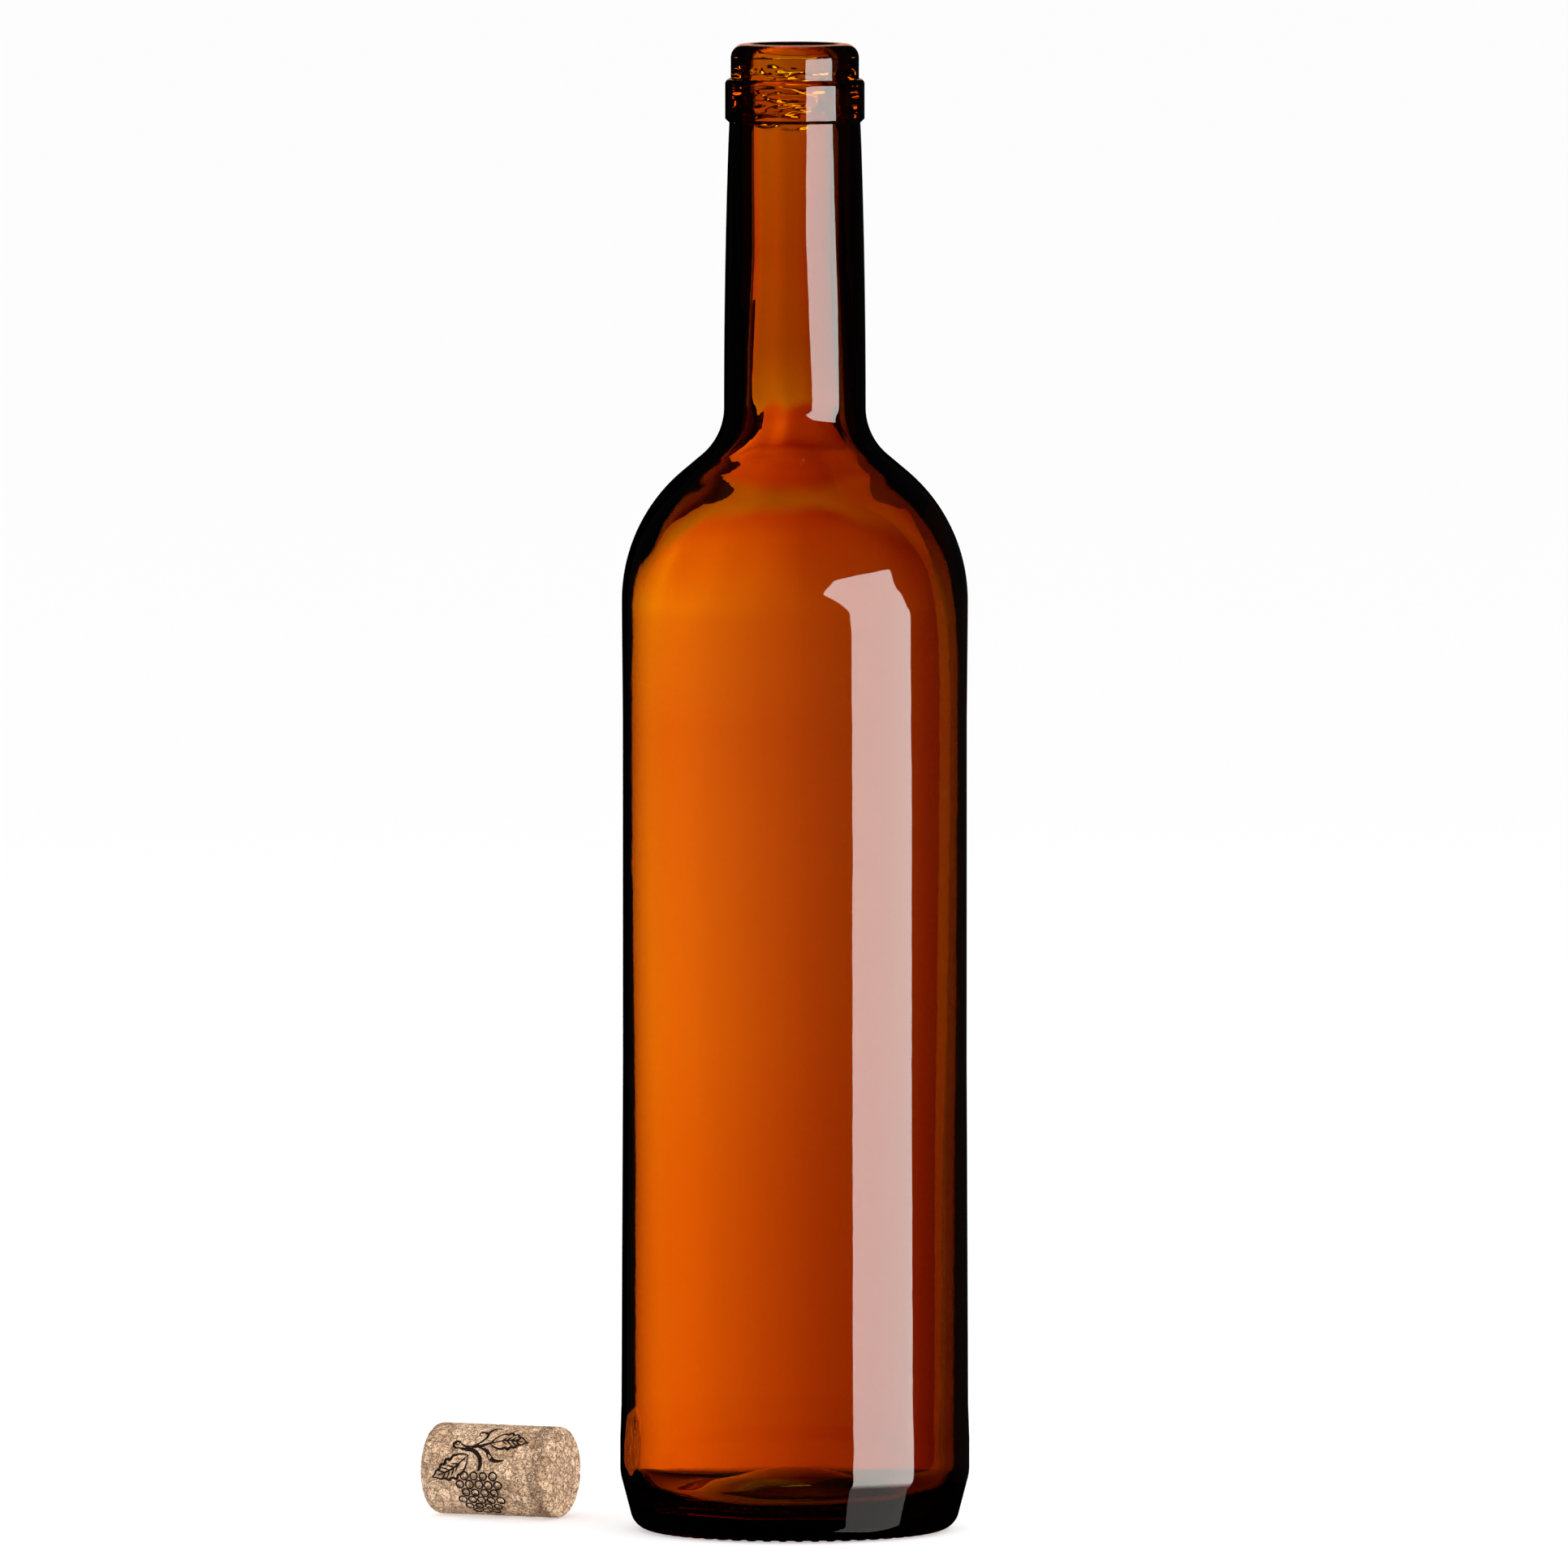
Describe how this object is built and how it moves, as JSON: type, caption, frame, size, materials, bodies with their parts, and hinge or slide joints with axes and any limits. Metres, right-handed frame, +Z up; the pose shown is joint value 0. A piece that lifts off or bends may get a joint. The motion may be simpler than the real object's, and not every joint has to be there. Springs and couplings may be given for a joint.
{
  "type": "glass wine bottle with cork",
  "caption": "Tall straight-sided amber glass wine bottle with high shoulders, a ringed mouth and a shallow punt, with a loose printed cork beside it.",
  "frame": {"origin": "centre of the flat ring that the bottle stands on", "axes": "+Z up along the bottle's axis, out of its mouth; -Y towards the viewer; the cork lies at -X"},
  "size_m": [0.1176, 0.0817, 0.3162],
  "materials": {
    "amber_glass": "clear amber, polished",
    "cork": "matte, granular",
    "ink": "flat dark brown ink"
  },
  "bodies": {
    "bottle": {"bottle": "amber_glass"},
    "cork": {"cork": "cork", "cork_print": "ink"}
  },
  "joints": [
    {"name": "cork_lift", "type": "slide", "parent": "bottle", "child": "cork", "axis": [0, 0, 1], "range_m": [0, 0.33]}
  ]
}
